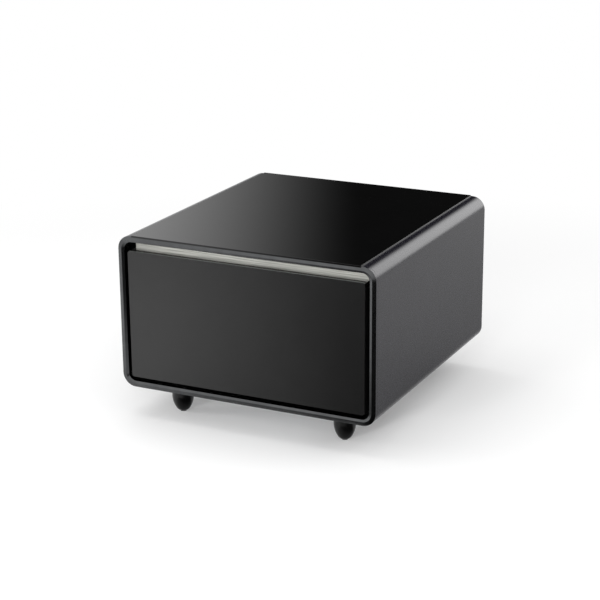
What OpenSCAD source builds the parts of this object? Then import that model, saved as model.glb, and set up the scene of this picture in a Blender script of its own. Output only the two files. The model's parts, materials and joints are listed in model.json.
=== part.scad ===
// Refrigerated nightstand: a rounded sheet-metal case on four bullet feet, a glass top,
// and one chilled drawer on ball-bearing runners, with its cooling unit behind the drawer.
// Millimetres. The origin is on the floor under the middle of the case, and the front faces -Y.

/* [Case] */
// Width of the case
case_w = 600; // [500:10:720]
// Depth of the case, from the front of the rim to the rear edge
case_d = 620; // [560:10:740]
// Height of the case without its feet
case_h = 340; // [300:10:410]
// Radius of the four long edges, outside
corner_r = 30; // [22:1:36]
// Thickness of the case sheet
sheet_t = 1.5; // [1:0.1:1.9]
// Width of the opening in the underside, which the base pan closes
underside_gap_w = 290; // [200:10:300]

/* [Front rim] */
// Width of the rim at the two sides
rim_side = 15; // [12:0.5:18]
// Width of the rim along the top and the bottom
rim_top = 13.5; // [12:0.5:15]
// Distance from the outer edge to the ridge of the rim
rim_ridge = 8.5; // [5:0.5:10]
// How far the ridge stands forward of the rim's two edges
rim_relief = 3; // [1:0.5:5]
// Depth of the part of the rim that shows at the side of the case
rim_lip = 10; // [7:0.5:14]
// Whole depth of the rim with the spigot that fits inside the case
rim_depth = 22; // [18:1:28]
// Corner radius of the rim's opening
rim_opening_r = 17; // [15:1:20]
// Thickness of the collar that runs back from the rim's opening
rim_collar_t = 2; // [1.5:0.5:3]

/* [Top glass] */
// Width of the glass top
glass_w = 532; // [430:2:650]
// Thickness of the glass top
glass_t = 4; // [3.4:0.1:5]
// How far the glass stands above the case
glass_proud = 2; // [1.5:0.1:2.4]
// Gap between the glass and the edge of its recess
glass_gap = 0.6; // [0.3:0.1:1]
// Corner radius of the glass top, seen from above
glass_corner_r = 2; // [1:0.5:4]
// Distance from the glass to the front and rear ends of the case
glass_setback = 0.5; // [0.2:0.1:2]

/* [Feet] */
// Height of the feet, which lifts the case off the floor
foot_h = 70; // [56:1:84]
// Radius of a foot at its top
foot_r = 23.5; // [20:0.5:27]
// Radius of the foot's nose
foot_nose_r = 19; // [15:0.5:19.5]
// Height at which the foot's sides become upright
foot_shoulder_h = 38; // [34:1:48]
// Distance from a side of the case to the middle of a foot
foot_side_gap = 104; // [95:0.5:122]
// Distance from the front or rear end of the case to a foot
foot_end_gap = 79; // [60:1:90]
// Radius of the glide under a foot
glide_r = 7; // [5:0.5:8]
// Thickness of the glide under a foot
glide_t = 1.5; // [1.2:0.1:2]
// Radius of the stud that holds a foot
stud_r = 4; // [3:0.5:5]

/* [Drawer front] */
// Gap between the drawer front and the rim at the two sides
front_side_gap = 9; // [6:0.5:11]
// Gap between the drawer front and the rim at the bottom
front_bottom_gap = 10.4; // [6:0.2:12]
// Finger gap between the drawer front and the rim at the top
finger_gap = 19; // [16:1:26]
// Thickness of the drawer's front glass
front_glass_t = 4; // [3:0.5:5]
// Corner radius of the drawer's front glass
front_glass_r = 5.5; // [3:0.5:8]
// Depth of the moulded housing behind the front glass
housing_d = 34; // [32:1:42]
// Wall thickness of the moulded housing
housing_t = 2.5; // [2:0.1:3]
// Distance from the front plane to the metal back of the handle channel
grip_depth = 33; // [26:1:33]
// Depth of the handle channel below the top edge of the front glass
grip_drop = 7.5; // [5:0.5:12]
// Gap between the drawer's top edge and the rim above it
drawer_top_gap = 4.3; // [3:0.1:6]
// Thickness of the metal strip in the handle channel
strip_t = 1.5; // [1:0.1:1.5]
// Thickness of the caps at the two ends of the handle channel
channel_end_t = 1.5; // [1:0.1:2.5]
// How far the insulated plug on the drawer's back reaches into the cabinet
plug_d = 14; // [8:1:18]
// Thickness of the door gasket
gasket_t = 5.7; // [4:0.1:8]
// Width of the door gasket
gasket_w = 12; // [10:0.5:13]

/* [Cooled cabinet] */
// Thickness of the insulation at each side of the cooled space
side_foam_t = 50.5; // [40:0.5:55]
// Height of the cooled space above the base pan
cavity_lift = 39; // [34:1:46]
// Distance from the cooled space up to the pressed top
cavity_drop = 34.5; // [30:0.5:44]
// Corner radius of the cooled space
cavity_r = 12; // [8:1:16]
// Wall thickness of the inner liner
liner_t = 2; // [1.5:0.1:2.5]
// Thickness of the insulation behind the liner
back_foam_t = 40; // [30:1:46]
// Depth of the machine room, from the bulkhead to the rear panel
room_d = 154; // [152:1:170]
// Thickness of the bulkhead between the insulation and the machine room
bulkhead_t = 1; // [0.8:0.1:1.5]

/* [Rear panel] */
// Distance from the rear edge of the case to the rear panel
panel_inset = 6; // [4:1:10]
// Thickness of the rear panel
panel_t = 1.2; // [0.8:0.1:1.5]
// Length of one vent slot
slot_l = 92; // [60:1:100]
// Width of one vent slot
slot_w = 4; // [3:0.5:5]
// Distance from one vent slot to the next
slot_pitch = 9; // [8:0.5:12]
// Number of vent slots in one field
slot_count = 11; // [5:1:12]

/* [Runners] */
// Height of the cabinet member of a runner
runner_h = 46; // [42:1:54]
// Width of a closed runner
runner_w = 12.5; // [12.5:0.1:14]
// Thickness of the runner's steel
runner_t = 1.2; // [1:0.1:1.3]
// Height of the runners' middle above the bin's floor
runner_lift = 70; // [40:1:90]
// Radius of the balls between the cabinet member and the middle member
outer_ball_r = 1.9; // [1.6:0.05:2]
// Radius of the balls between the middle member and the drawer member
inner_ball_r = 1.5; // [1.3:0.05:1.6]
// Distance from one ball to the next
ball_pitch = 20; // [12:1:30]
// Play of a ball between its two members, on each side
ball_play = 0.3; // [0.1:0.05:0.4]

/* [Bin] */
// Wall thickness of the drawer bin
bin_t = 2.5; // [2:0.1:3]
// Corner radius of the drawer bin
bin_r = 14; // [8:1:20]
// Clearance under the drawer bin
bin_lift = 8; // [5:1:14]
// Space between the top of the bin and the top of the cooled space
bin_headroom = 52; // [40:1:70]
// Clearance behind the drawer bin
bin_back_gap = 16; // [14:1:24]
// Width of the rolled rim of the bin
bin_rim_w = 4; // [3:0.5:6]
// Share of the bin's depth that lies in front of the divider
divider_share = 0.5; // [0.3:0.05:0.7]

/* [Cooling unit] */
// Radius of the compressor's can
can_r = 56; // [48:1:60]
// Height of the compressor's can
can_h = 132; // [110:1:145]
// Distance from the side of the case to the middle of the compressor
can_side_gap = 130; // [124:1:140]
// Height of the rubber mounts under the compressor
mount_h = 12; // [10:1:18]
// Side of the square fan frame
fan_size = 119; // [99:1:124]
// Thickness of the fan frame
fan_t = 25; // [20:1:28]
// Distance from the side of the case to the near face of the fan
fan_side_gap = 210; // [205:1:215]
// Number of fan blades
blade_count = 7; // [5:1:9]
// Depth of the condenser in the direction of the air
condenser_d = 85; // [70:1:88]
// Number of condenser fins
fin_count = 20; // [8:1:24]
// Number of tube rows in the condenser
row_count = 4; // [3:1:5]
// Radius of the condenser's tube
condenser_tube_r = 4; // [3:0.5:5]
// Radius of the hot gas pipe
discharge_r = 3; // [2.5:0.5:4]
// Radius of the suction pipe
suction_r = 4; // [3:0.5:5]
// Radius of the capillary pipe
capillary_r = 1.2; // [1:0.1:1.5]
// Width of the evaporator plate
evaporator_w = 360; // [300:10:400]
// Height of the evaporator plate
evaporator_h = 136; // [100:2:150]

/* [Hidden] */
$fn = 64;

// Clearances
seat_gap = 0.1;         // between two pieces of one body that seat in each other
fit_gap = 0.05;         // radial play of a pin or a stud in its hole
wall_gap = 0.5;         // between the insulation and the case
running_gap = 0.3;      // between a moving face and the face it passes
hole_gap = 0.4;         // radial gap round a pipe in its hole

// The case
base_z = foot_h;
top_z = foot_h + case_h;
mid_z = foot_h + case_h / 2;
front_y = -case_d / 2;
back_y = case_d / 2;
recess_d = glass_t - glass_proud;
recess_w = glass_w + 2 * glass_gap;
ceiling_z = top_z - recess_d - sheet_t;
floor_z = base_z + 2 * sheet_t;
panel_y = back_y - panel_inset - panel_t;
lip_d = 10;
screw_r = 2;
opening_w = case_w - 2 * rim_side;
opening_h = case_h - 2 * rim_top;
pan_w = case_w - 2 * corner_r - 4;
pan_y0 = front_y + rim_depth + 1;
pan_y1 = panel_y;
pan_flange_h = 12;

// The drawer front, from the front plane backwards
front_w = opening_w - 2 * front_side_gap;
front_z0 = base_z + rim_top + front_bottom_gap;
front_z1 = top_z - rim_top - finger_gap;
edge_inset = 1.5;
housing_y0 = front_y + front_glass_t;
housing_y1 = housing_y0 + housing_d;
housing_z0 = front_z0 + edge_inset;
channel_z = front_z1 - grip_drop;
channel_y = housing_y0 + housing_t;
channel_back_y = front_y + grip_depth + strip_t;
channel_lip_z = front_z1 - edge_inset;
drawer_top_z = top_z - rim_top - drawer_top_gap;
strip_lift = 2.3;
strip_lip_t = 1.2;
door_liner_t = 2;
gasket_y = housing_y1 + door_liner_t;

// The cooled space
frame_y = gasket_y + gasket_t + running_gap;
frame_t = 1.5;
flange_t = 1.5;
foam_y0 = frame_y + frame_t + flange_t;
room_y = panel_y - room_d;
foam_y1 = room_y - bulkhead_t;
cavity_back_y = foam_y1 - back_foam_t - liner_t;
cavity_w = case_w - 2 * (sheet_t + side_foam_t + liner_t);
cavity_z0 = floor_z + cavity_lift;
cavity_z1 = ceiling_z - cavity_drop;
cavity_h = cavity_z1 - cavity_z0;
cavity_mid_z = (cavity_z0 + cavity_z1) / 2;
liner_flange_w = 10;
gasket_offset = 2;

// The insulated plug on the back of the drawer front
plug_gap = 10;
plug_w = cavity_w - 2 * plug_gap;
plug_h = cavity_h - 2 * plug_gap;
plug_y1 = gasket_y + plug_d;

// The bin
bin_w = cavity_w - 2 * runner_w;
bin_y0 = plug_y1;
bin_y1 = cavity_back_y - bin_back_gap;
bin_d = bin_y1 - bin_y0;
bin_z0 = cavity_z0 + bin_lift;
bin_z1 = cavity_z1 - bin_headroom;
bin_h = bin_z1 - bin_z0;
bin_rim_t = 3;
floor_rib_h = 1.5;
floor_rib_w = 3;
floor_rib_count = 9;
divider_t = 2.5;
divider_y = bin_y0 + bin_d * divider_share;

// The runners, measured inwards from the wall of the liner
runner_z = bin_z0 + runner_lift;
runner_y0 = frame_y + 9;
runner_y1 = cavity_back_y - 11;
runner_l = runner_y1 - runner_y0;
outer_track_z = runner_h / 2 - runner_t;
outer_ball_z = outer_track_z - ball_play - outer_ball_r;
middle_top_z = outer_ball_z - outer_ball_r - ball_play;
inner_track_z = middle_top_z - runner_t;
inner_ball_z = inner_track_z - ball_play - inner_ball_r;
drawer_top_track_z = inner_ball_z - inner_ball_r - ball_play;
cabinet_flange_x = runner_w - 0.5;
middle_web_x = 2.8;
middle_flange_x = 10.6;
drawer_flange_x = 5.8;
outer_lip = 2.2;
middle_lip = 1.5;
outer_cage_x = 1.7;
inner_cage_x = 4.3;
cage_t = 0.7;
outer_ball_x = 6.5;
inner_ball_x = 7.6;
cage_l = runner_l * 0.45;
cage_y0 = runner_y0 + runner_l * 0.28;

// Feet and studs
foot_x = case_w / 2 - foot_side_gap;
foot_y = case_d / 2 - foot_end_gap;
stud_depth = 22;
stud_top_z = floor_z + 9;
nut_h = 6.5;
nut_r = 7.5;

// The machine room
compressor_x = case_w / 2 - can_side_gap;
compressor_y = room_y + 77;
can_z0 = floor_z + mount_h + 3;
can_z1 = can_z0 + can_h;
mount_x = 62;
mount_y = 44;
fan_x = -case_w / 2 + fan_side_gap;
fan_y = room_y + 76;
fan_z = floor_z + fan_size / 2;
fan_wall = 1.8;
fan_hub_r = 20;
fan_motor_r = 19;
fan_motor_t = 4;
fan_pin_r = 1.5;
blade_t = 1.6;
condenser_h = fan_size;
// The rows sit a whole number of twentieths of a millimetre apart
tube_pitch = round(20 * condenser_h / row_count) / 20;
tube_end = 2;
bend_reach = tube_end + tube_pitch / 2 + condenser_tube_r + 3;
condenser_x1 = fan_x - 5;
condenser_x0 = condenser_x1 - condenser_d;
condenser_y0 = room_y + bend_reach;
condenser_y1 = panel_y - bend_reach;
top_row_z = floor_z + tube_pitch * (row_count - 0.5);
tube_x1 = condenser_x1 - condenser_d * 0.25;
tube_x0 = condenser_x0 + condenser_d * 0.25;
header_y = room_y + 9;
header_z = top_row_z + 26;
drier_r = 9;
drier_l = 78;
discharge_top_z = can_z1 + 32;
pipe_bend = 9;
discharge_x = compressor_x - 40;
discharge_y = compressor_y + 10;
suction_x = compressor_x - 20;
suction_y = compressor_y - 20;
evaporator_z1 = cavity_z1 - 12;
evaporator_z0 = evaporator_z1 - evaporator_h;
evaporator_t = 1.5;
evaporator_gap = 4;
evaporator_y = cavity_back_y - evaporator_gap - evaporator_t;
capillary_z = evaporator_z1 - 40;
suction_z = evaporator_z1 - 40;
drain_r = 6;
drain_wall = 1.5;
drain_x = 20;
drain_z = cavity_z0 + drain_r + 4;
tray_x0 = fan_x + fan_t + 12;
tray_x1 = compressor_x - mount_x - 24;
tray_y0 = room_y + 10;
tray_y1 = tray_y0 + 112;
tray_h = 28;
tray_wall = 2;
board_w = 130;
board_h = 76;
board_z = ceiling_z - 20 - board_h;
board_t = 1.6;
standoff_h = 7;
cover_d = 40;
cover_wall = 2;
inlet_x = -case_w / 2 + 55;
inlet_z = floor_z + 57;
inlet_w = 28;
inlet_h = 20;
vent_left_x = (condenser_x0 + condenser_x1) / 2;
vent_right_x = compressor_x;
vent_z0 = floor_z + 16;

// ---- Shared shapes ----

// A rectangle with true round corners, centred
module rounded(w, h, r) {
    square([w - 2 * r, h], center = true);
    square([w, h - 2 * r], center = true);
    for (x = [-1, 1], y = [-1, 1])
        translate([x * (w / 2 - r), y * (h / 2 - r)])
            circle(r);
}

// Stands a profile drawn in X and Z upright and runs it from y0 back to y1
module along_y(y0, y1) {
    translate([0, y1, 0])
        rotate([90, 0, 0])
            linear_extrude(height = y1 - y0)
                children();
}

// Runs a profile drawn in Y and Z from x0 to x1
module along_x(x0, x1) {
    translate([x0, 0, 0])
        rotate([90, 0, 90])
            linear_extrude(height = x1 - x0)
                children();
}

// Sweeps a profile round a rectangle with round corners, centred in X and Z.
// In the profile, X runs inwards from the outer edge and Y backwards from the front.
module swept_ring(w, h, r) {
    for (flip = [0, 1]) {
        mirror([flip, 0, 0])
            translate([w / 2, 0, -(h / 2 - r)])
                linear_extrude(height = h - 2 * r)
                    mirror([1, 0])
                        children();
        mirror([0, 0, flip])
            translate([-(w / 2 - r), 0, h / 2])
                rotate([0, 90, 0])
                    linear_extrude(height = w - 2 * r)
                        children();
    }
    for (flip_x = [0, 1], flip_z = [0, 1])
        mirror([flip_x, 0, 0])
            mirror([0, 0, flip_z])
                translate([w / 2 - r, 0, -(h / 2 - r)])
                    rotate([-90, 0, 0])
                        rotate_extrude(angle = 90)
                            translate([r, 0])
                                mirror([1, 0])
                                    children();
}

// A straight round bar from a to b
module bar(a, b, r) {
    span = b - a;
    length = norm(span);
    translate(a)
        rotate([0, acos(span.z / length), atan2(span.y, span.x)])
            cylinder(h = length, r = r);
}

// A quarter bend at point p, from direction d1 into direction d2
module elbow(p, d1, d2, r, bend) {
    centre = p - bend * d1 + bend * d2;
    up = cross(-d2, d1);
    multmatrix([
        [-d2.x, d1.x, up.x, centre.x],
        [-d2.y, d1.y, up.y, centre.y],
        [-d2.z, d1.z, up.z, centre.z],
        [0, 0, 0, 1]
    ])
        rotate_extrude(angle = 90)
            translate([bend, 0])
                circle(r);
}

// A pipe through points that turn only at right angles
module pipe(points, r, bend) {
    last = len(points) - 1;
    steps = [for (i = [1:last]) (points[i] - points[i - 1]) / norm(points[i] - points[i - 1])];
    for (i = [1:last]) {
        start = points[i - 1] + (i > 1 ? bend : 0) * steps[i - 1];
        end = points[i] - (i < last ? bend : 0) * steps[i - 1];
        if (norm(end - start) > 0.01)
            bar(start, end, r);
        if (i < last)
            elbow(points[i], steps[i - 1], steps[i], r, bend);
    }
}

// A slot with round ends, centred, lying along X
module slot(l, w) {
    square([l - w, w], center = true);
    for (side = [-1, 1])
        translate([side * (l - w) / 2, 0])
            circle(w / 2);
}

// Places its child at all four feet
module at_feet() {
    for (x = [-1, 1], y = [-1, 1])
        translate([x * foot_x, y * foot_y, 0])
            children();
}

// Places its child at the four mounts of the compressor
module at_mounts() {
    for (x = [-1, 1], y = [-1, 1])
        translate([compressor_x + x * mount_x, compressor_y + y * mount_y, 0])
            children();
}

// ---- Case ----

// The outline of the case, drawn in by an inset
module case_outline(inset) {
    rounded(case_w - 2 * inset, case_h - 2 * inset, corner_r - inset);
}

// What fits inside the case between the base pan and the pressed top
module inside_outline(gap) {
    z0 = floor_z - mid_z;
    z1 = ceiling_z - mid_z - gap;
    intersection() {
        case_outline(sheet_t + wall_gap);
        translate([-case_w / 2, z0])
            square([case_w, z1 - z0]);
    }
}

module outer_shell() {
    color([0.27, 0.27, 0.28])
        difference() {
            translate([0, 0, mid_z])
                along_y(front_y + rim_lip, back_y)
                    shell_section();
            at_feet()
                cylinder(h = base_z + 3 * sheet_t, r = stud_r + hole_gap);
        }
}

module shell_section() {
    step_h = recess_d + sheet_t;
    difference() {
        case_outline(0);
        case_outline(sheet_t);
        translate([0, case_h / 2])
            square([recess_w, 2 * recess_d], center = true);
        translate([0, -case_h / 2])
            square([underside_gap_w, 3 * sheet_t], center = true);
    }
    translate([0, case_h / 2 - recess_d - sheet_t / 2])
        square([recess_w + 2 * sheet_t, sheet_t], center = true);
    for (side = [-1, 1])
        translate([side * (recess_w + sheet_t) / 2, case_h / 2 - step_h / 2])
            square([sheet_t, step_h], center = true);
}

module rim_section() {
    seat = sheet_t + seat_gap;
    polygon([
        [0, rim_relief],
        [rim_ridge, 0],
        [rim_side, rim_relief],
        [rim_side, rim_depth],
        [seat, rim_depth],
        [seat, rim_lip],
        [0, rim_lip]
    ]);
}

// The front rim has two facets that meet in a ridge, a spigot inside the case, and a collar
// round its opening that reaches back to the face frame
module front_rim() {
    step_w = recess_w + 2 * (sheet_t + seat_gap);
    collar_y1 = frame_y - seat_gap;
    color([0.2, 0.2, 0.21])
        difference() {
            union() {
                translate([0, front_y, mid_z])
                    swept_ring(case_w, case_h, corner_r)
                        rim_section();
                translate([0, 0, mid_z])
                    along_y(front_y + rim_lip, collar_y1)
                        rounded(opening_w + 2 * rim_collar_t, opening_h + 2 * rim_collar_t,
                                rim_opening_r + rim_collar_t);
            }
            translate([0, 0, mid_z])
                along_y(front_y - 1, collar_y1 + 1)
                    rounded(opening_w, opening_h, rim_opening_r);
            translate([-recess_w / 2, front_y - 1, top_z - recess_d])
                cube([recess_w, rim_depth + 2, recess_d + 1]);
            translate([-step_w / 2, front_y + rim_lip, ceiling_z - seat_gap])
                cube([step_w, rim_depth, recess_d + sheet_t + 1]);
        }
}

module top_glass() {
    color([0.05, 0.05, 0.05])
        translate([0, 0, top_z - recess_d])
            linear_extrude(height = glass_t)
                rounded(glass_w, case_d - 2 * glass_setback, glass_corner_r);
}

module base_pan() {
    vent_count = 7;
    vent_l = 60;
    flange_z = base_z + sheet_t;
    color([0.3, 0.3, 0.3])
        difference() {
            union() {
                translate([-pan_w / 2, pan_y0, flange_z])
                    cube([pan_w, pan_y1 - pan_y0, sheet_t]);
                translate([-pan_w / 2, pan_y1 - sheet_t, flange_z])
                    cube([pan_w, sheet_t, pan_flange_h]);
            }
            along_y(pan_y1 - 2 * sheet_t, pan_y1 + 1)
                at_panel_screws()
                    circle(screw_r + fit_gap);
            at_feet()
                cylinder(h = floor_z + 1, r = stud_r + hole_gap);
            at_mounts()
                cylinder(h = floor_z + 1, r = 3 + hole_gap);
            for (i = [0:vent_count - 1])
                translate([0, room_y + 40 + i * 10, base_z])
                    linear_extrude(height = 3 * sheet_t)
                        slot(vent_l, slot_w);
        }
}

// A sheet-metal tray. Its lips run forward inside the case, and its vents face the condenser
// and the compressor.
module rear_panel() {
    color([0.16, 0.16, 0.17])
        difference() {
            translate([0, 0, mid_z])
                along_y(panel_y - lip_d, panel_y + panel_t)
                    panel_outline(0);
            translate([0, 0, mid_z])
                along_y(panel_y - lip_d - 1, panel_y)
                    panel_outline(panel_t);
            translate([-case_w / 2, panel_y - lip_d - 1, base_z])
                cube([case_w, lip_d + 1, sheet_t + pan_flange_h + 1]);
            along_y(panel_y - 1, panel_y + panel_t + 1) {
                for (x = [vent_left_x, vent_right_x], i = [0:slot_count - 1])
                    translate([x, vent_z0 + i * slot_pitch])
                        slot(slot_l, slot_w);
                translate([inlet_x, inlet_z])
                    rounded(inlet_w + 2 * seat_gap, inlet_h + 2 * seat_gap, 3);
                at_panel_screws()
                    circle(screw_r + hole_gap);
            }
        }
}

// The outline of the rear panel, above the underside of the case and below the pressed top
module panel_outline(inset) {
    z0 = base_z + sheet_t + running_gap;
    z1 = ceiling_z - running_gap - inset;
    intersection() {
        case_outline(sheet_t + running_gap + inset);
        translate([-case_w / 2, z0 - mid_z])
            square([case_w, z1 - z0]);
    }
}

// The places of the rear panel's screws, in X and Z
module at_panel_screws() {
    for (x = [-1, 0, 1])
        translate([x * (pan_w / 2 - 20), floor_z + 5])
            children();
}

module panel_screws() {
    head_r = 4;
    head_t = 2.2;
    color([0.6, 0.6, 0.6]) {
        along_y(panel_y + panel_t, panel_y + panel_t + head_t)
            at_panel_screws()
                circle(head_r);
        along_y(panel_y - 8, panel_y + panel_t)
            at_panel_screws()
                circle(screw_r);
    }
}

// ---- Feet ----

// Half of the foot's outline: a nose arc, a longer side arc that meets it, and an upright top.
// The nose is a little fuller than a tangent arc, so the two arcs cross cleanly, and the
// curved part laps into the upright one.
module foot_outline() {
    tangent_r = foot_nose_r - 0.5;
    side_r = (pow(foot_r, 2) + pow(foot_shoulder_h - tangent_r, 2) - pow(tangent_r, 2))
        / (2 * (foot_r - tangent_r));
    join_z = foot_shoulder_h
        - side_r * (foot_shoulder_h - tangent_r) / (side_r - tangent_r);
    lap = 1;
    intersection() {
        translate([foot_r - side_r, foot_shoulder_h])
            circle(side_r, $fn = 128);
        union() {
            translate([0, foot_nose_r])
                circle(foot_nose_r);
            translate([0, join_z])
                square([foot_r, foot_shoulder_h + lap - join_z]);
        }
        translate([0, glide_t])
            square([foot_r, foot_shoulder_h + lap - glide_t]);
    }
    translate([0, foot_shoulder_h])
        square([foot_r, foot_h - foot_shoulder_h]);
}

module foot(x, y) {
    color([0.04, 0.04, 0.04])
        translate([x * foot_x, y * foot_y, 0])
            difference() {
                rotate_extrude()
                    foot_outline();
                translate([0, 0, foot_h - stud_depth])
                    cylinder(h = stud_depth + 1, r = stud_r + fit_gap);
            }
}

module foot_glides() {
    color([0.2, 0.2, 0.2])
        at_feet()
            cylinder(h = glide_t, r = glide_r);
}

module foot_studs() {
    z0 = foot_h - stud_depth + seat_gap;
    color([0.6, 0.6, 0.6])
        at_feet()
            translate([0, 0, z0])
                cylinder(h = stud_top_z - z0, r = stud_r);
}

module foot_nuts() {
    color([0.6, 0.6, 0.6])
        at_feet()
            translate([0, 0, floor_z])
                linear_extrude(height = nut_h)
                    difference() {
                        circle(nut_r, $fn = 6);
                        circle(stud_r + fit_gap);
                    }
}

// ---- Insulated cabinet ----

module foam_body() {
    color([0.93, 0.88, 0.7])
        difference() {
            translate([0, 0, mid_z])
                along_y(foam_y0, foam_y1)
                    inside_outline(running_gap);
            translate([0, 0, cavity_mid_z])
                along_y(foam_y0 - 1, cavity_back_y + liner_t + seat_gap)
                    liner_outline(liner_t + seat_gap);
            at_feet()
                translate([0, 0, floor_z - 1])
                    cylinder(h = 14, r = nut_r + 1);
            wall_passages();
        }
}

// The section of the cooled space, grown by a wall
module liner_outline(grow) {
    rounded(cavity_w + 2 * grow, cavity_h + 2 * grow, cavity_r + grow);
}

// The holes for the two pipes and the drain through the back of the cabinet
module wall_passages() {
    y0 = cavity_back_y - 1;
    y1 = room_y + 1;
    along_y(y0, y1) {
        translate([suction_x, suction_z])
            circle(suction_r + hole_gap);
        translate([tube_x0, capillary_z])
            circle(capillary_r + hole_gap);
        translate([drain_x, drain_z])
            circle(drain_r + seat_gap);
    }
}

module cabinet_liner() {
    color([0.92, 0.93, 0.93])
        difference() {
            translate([0, 0, cavity_mid_z]) {
                along_y(frame_y + frame_t, cavity_back_y + liner_t)
                    liner_outline(liner_t);
                along_y(frame_y + frame_t, frame_y + frame_t + flange_t)
                    liner_outline(liner_flange_w);
            }
            translate([0, 0, cavity_mid_z])
                along_y(frame_y, cavity_back_y)
                    liner_outline(0);
            wall_passages();
        }
}

module face_frame() {
    color([0.06, 0.06, 0.06])
        difference() {
            translate([0, 0, mid_z])
                along_y(frame_y, frame_y + frame_t)
                    inside_outline(running_gap);
            translate([0, 0, cavity_mid_z])
                along_y(frame_y - 1, frame_y + frame_t + 1)
                    liner_outline(0);
        }
}

module bulkhead() {
    color([0.7, 0.7, 0.7])
        difference() {
            translate([0, 0, mid_z])
                along_y(foam_y1, room_y)
                    inside_outline(running_gap);
            wall_passages();
        }
}

module light_bar() {
    light_w = 160;
    light_h = 5;
    light_y = frame_y + 20;
    color([0.95, 0.97, 1])
        translate([0, 0, cavity_z1])
            along_x(-light_w / 2, light_w / 2)
                polygon([
                    [light_y, 0],
                    [light_y + 3, -light_h],
                    [light_y + 12, -light_h],
                    [light_y + 15, 0]
                ]);
}

module temperature_probe() {
    probe_y = cavity_back_y - 60;
    probe_z = cavity_z1 - 26;
    color([0.85, 0.85, 0.85]) {
        along_x(-cavity_w / 2, -cavity_w / 2 + 5)
            translate([probe_y, probe_z])
                rounded(32, 14, 4);
        translate([-cavity_w / 2 + 5, probe_y - 10, probe_z])
            rotate([-90, 0, 0])
                cylinder(h = 20, r = 3);
    }
}

// ---- Runners ----

// Moves a runner to one side. In its section, X runs inwards from the wall of the liner.
module at_side(side) {
    translate([side * cavity_w / 2, 0, runner_z])
        mirror([side > 0 ? 1 : 0, 0, 0])
            children();
}

// A channel section of one thickness: a web at x0, two flanges that run to x1, and their lips
module channel_section(x0, x1, half_h, t, lip) {
    inner_h = 2 * (half_h - t);
    difference() {
        translate([x0, -half_h])
            square([x1 - x0, 2 * half_h]);
        translate([x0 + t, -inner_h / 2])
            square([x1 - x0 - 2 * t, inner_h]);
        translate([x1 - t - 1, -inner_h / 2 + lip])
            square([t + 2, inner_h - 2 * lip]);
    }
}

module cabinet_rail(side) {
    color([0.72, 0.73, 0.74])
        at_side(side)
            along_y(runner_y0, runner_y1)
                channel_section(0, cabinet_flange_x, runner_h / 2, runner_t, outer_lip);
}

module middle_rail(side) {
    color([0.76, 0.77, 0.78])
        at_side(side)
            along_y(runner_y0, runner_y1)
                channel_section(middle_web_x, middle_flange_x, middle_top_z, runner_t, middle_lip);
}

// The drawer member turns its flanges back towards the cabinet
module drawer_rail(side) {
    color([0.72, 0.73, 0.74])
        at_side(side)
            along_y(runner_y0, runner_y1)
                difference() {
                    translate([drawer_flange_x, -drawer_top_track_z])
                        square([runner_w - drawer_flange_x, 2 * drawer_top_track_z]);
                    translate([drawer_flange_x - 1, -drawer_top_track_z + runner_t])
                        square([
                            runner_w - drawer_flange_x - runner_t + 1,
                            2 * (drawer_top_track_z - runner_t)
                        ]);
                }
}

// A folded steel strip that carries a row of balls along its top and its bottom
module ball_cage(side, web_x, ball_x, ball_z, ball_r) {
    ball_count = floor((cage_l - 2 * ball_r) / ball_pitch) + 1;
    flange_w = ball_x + 0.8 * ball_r - web_x;
    first_y = cage_y0 + (cage_l - (ball_count - 1) * ball_pitch) / 2;
    color([0.62, 0.55, 0.3])
        at_side(side) {
            along_y(cage_y0, cage_y0 + cage_l) {
                translate([web_x, -ball_z - cage_t / 2])
                    square([cage_t, 2 * ball_z + cage_t]);
                for (z = [-ball_z, ball_z])
                    translate([web_x, z - cage_t / 2])
                        square([flange_w, cage_t]);
            }
            for (i = [0:ball_count - 1], z = [-1, 1])
                translate([ball_x, first_y + i * ball_pitch, z * ball_z])
                    sphere(ball_r);
        }
}

module outer_cage(side) {
    ball_cage(side, outer_cage_x, outer_ball_x, outer_ball_z, outer_ball_r);
}

module inner_cage(side) {
    ball_cage(side, inner_cage_x, inner_ball_x, inner_ball_z, inner_ball_r);
}

// ---- Drawer front ----

module door_glass() {
    color([0.07, 0.07, 0.07])
        translate([0, 0, (front_z0 + front_z1) / 2])
            along_y(front_y, front_y + front_glass_t)
                rounded(front_w, front_z1 - front_z0, front_glass_r);
}

// A moulded tray behind the front glass, open at the back. The handle channel closes its top.
module door_housing() {
    color([0.05, 0.05, 0.05])
        difference() {
            translate([-front_w / 2, housing_y0, housing_z0])
                cube([front_w, housing_d, channel_z - housing_t - seat_gap - housing_z0]);
            housing_hollow(0, 1);
        }
}

// A U-shaped profile along the drawer's top, with a low front leg and a tall back leg
module handle_channel() {
    z0 = channel_z - housing_t;
    color([0.05, 0.05, 0.05])
        along_x(-front_w / 2, front_w / 2)
            polygon([
                [housing_y0, z0],
                [housing_y0, channel_lip_z],
                [channel_y, channel_lip_z],
                [channel_y, channel_z],
                [channel_back_y, channel_z],
                [channel_back_y, drawer_top_z],
                [housing_y1, drawer_top_z],
                [housing_y1, z0]
            ]);
}

// Two low caps that close the ends of the channel's trough, level with its front leg
module channel_ends() {
    y0 = channel_y + seat_gap;
    z0 = channel_z + seat_gap;
    color([0.05, 0.05, 0.05])
        for (side = [0, 1])
            mirror([side, 0, 0])
                along_x(front_w / 2 - channel_end_t, front_w / 2)
                    translate([y0, z0])
                        square([channel_back_y - seat_gap - y0, channel_lip_z - z0]);
}

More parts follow.
